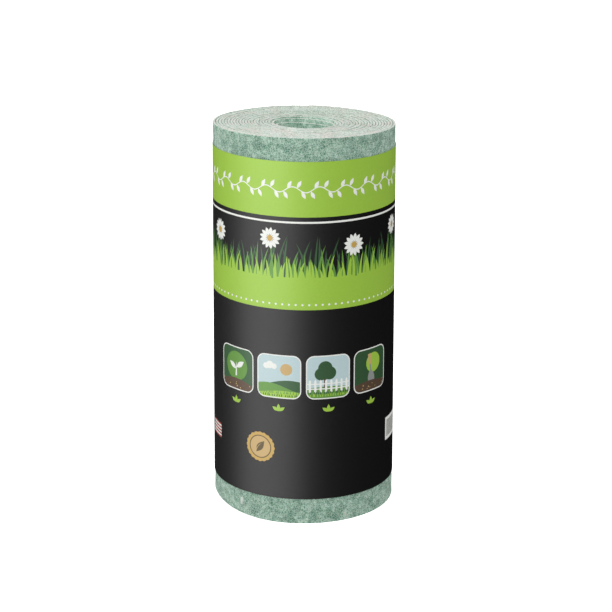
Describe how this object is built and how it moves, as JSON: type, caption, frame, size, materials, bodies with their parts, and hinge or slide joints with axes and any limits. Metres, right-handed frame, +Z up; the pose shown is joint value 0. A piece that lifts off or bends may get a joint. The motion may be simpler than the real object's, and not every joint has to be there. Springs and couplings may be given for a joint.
{
  "type": "grass seed mat roll",
  "caption": "Roll of seeded fibre mat standing on its end: a long green felt sheet wound round an open bore and kept closed by a printed wrap label.",
  "frame": {"origin": "middle of the roll's foot, on the floor", "axes": "+Z up along the roll's axis, -Y towards the label's front, the label's glued lap towards +Y"},
  "size_m": [0.2152, 0.2156, 0.4572],
  "materials": {
    "green_fibre_mat": "matt, mottled pale green airlaid fibre",
    "printed_label": "satin coated paper, charcoal with lime bands"
  },
  "bodies": {
    "root": {"mat_roll": "green_fibre_mat", "label_sleeve": "printed_label"}
  },
  "joints": []
}
